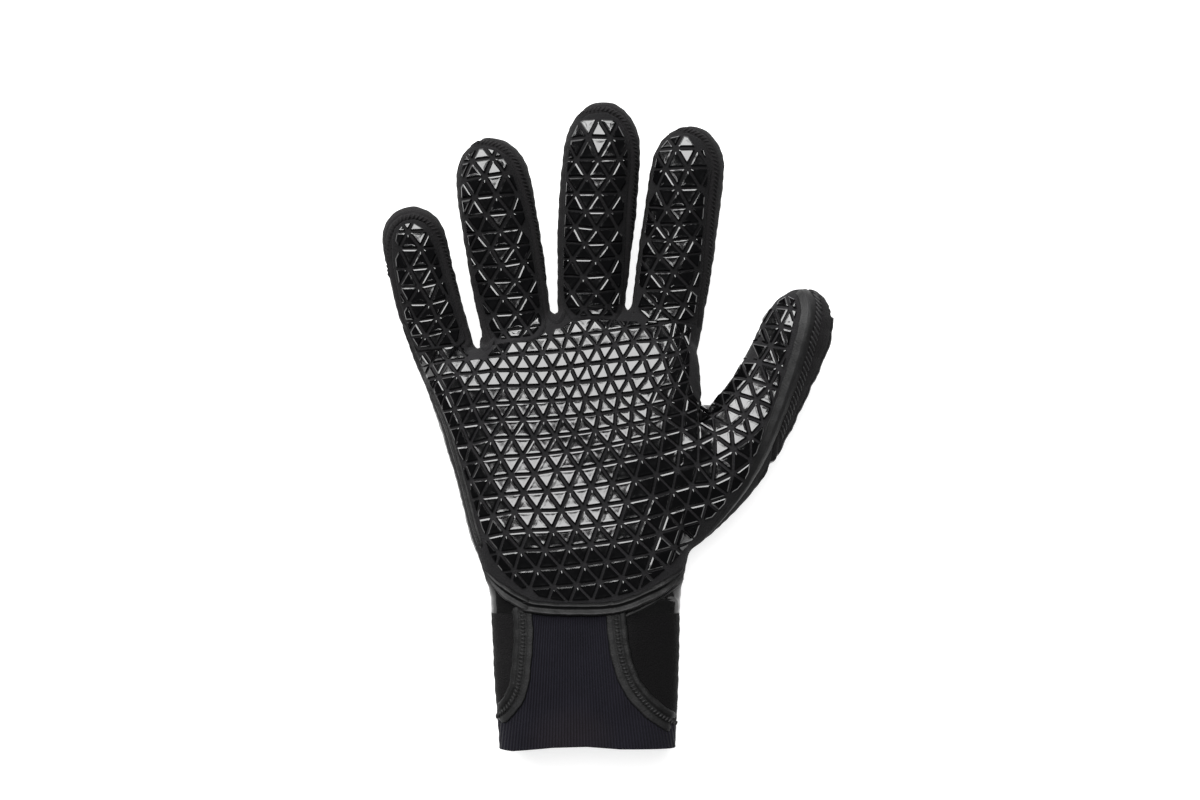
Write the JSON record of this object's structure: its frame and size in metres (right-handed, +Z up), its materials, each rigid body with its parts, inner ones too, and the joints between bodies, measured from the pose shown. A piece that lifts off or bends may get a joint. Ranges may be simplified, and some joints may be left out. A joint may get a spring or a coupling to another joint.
{
  "type": "diving glove",
  "caption": "Right-hand five-finger neoprene diving glove, lying palm up, with raised triangular rubber grips and a ribbed jersey cuff.",
  "frame": {"origin": "on the surface that the glove lies on, under the middle of its bounding box", "axes": "+X to the thumb side, +Y to the fingertips, +Z up out of the palm; the back of the hand lies on the surface"},
  "size_m": [0.185, 0.268, 0.0459],
  "materials": {
    "palm_jersey": "matte knitted nylon face on neoprene",
    "side_jersey": "matte knitted nylon face on neoprene, darker",
    "back_skin": "glossy embossed skin on neoprene",
    "grip_rubber": "glossy moulded rubber",
    "seam_tape": "satin seam tape, blind-stitched",
    "cuff_jersey": "matte ribbed jersey, blue-black"
  },
  "bodies": {
    "root": {"palm_panel": "palm_jersey", "back_panel": "back_skin", "little_front": "palm_jersey", "little_band": "side_jersey", "little_back": "back_skin", "ring_front": "palm_jersey", "ring_band": "side_jersey", "ring_back": "back_skin", "middle_front": "palm_jersey", "middle_band": "side_jersey", "middle_back": "back_skin", "index_front": "palm_jersey", "index_band": "side_jersey", "index_back": "back_skin", "thumb_front": "palm_jersey", "thumb_band": "side_jersey", "thumb_back": "back_skin", "cuff_insert": "cuff_jersey", "cuff_wrap": "side_jersey", "wrist_tape_left": "seam_tape", "wrist_tape_middle": "seam_tape", "wrist_tape_right": "seam_tape", "cuff_tape_left": "seam_tape", "cuff_tape_right": "seam_tape", "side_piping": "seam_tape", "thumb_ridge": "seam_tape", "grip_palm": "grip_rubber", "grip_little": "grip_rubber", "grip_ring": "grip_rubber", "grip_middle": "grip_rubber", "grip_index": "grip_rubber", "grip_thumb": "grip_rubber"}
  },
  "joints": []
}
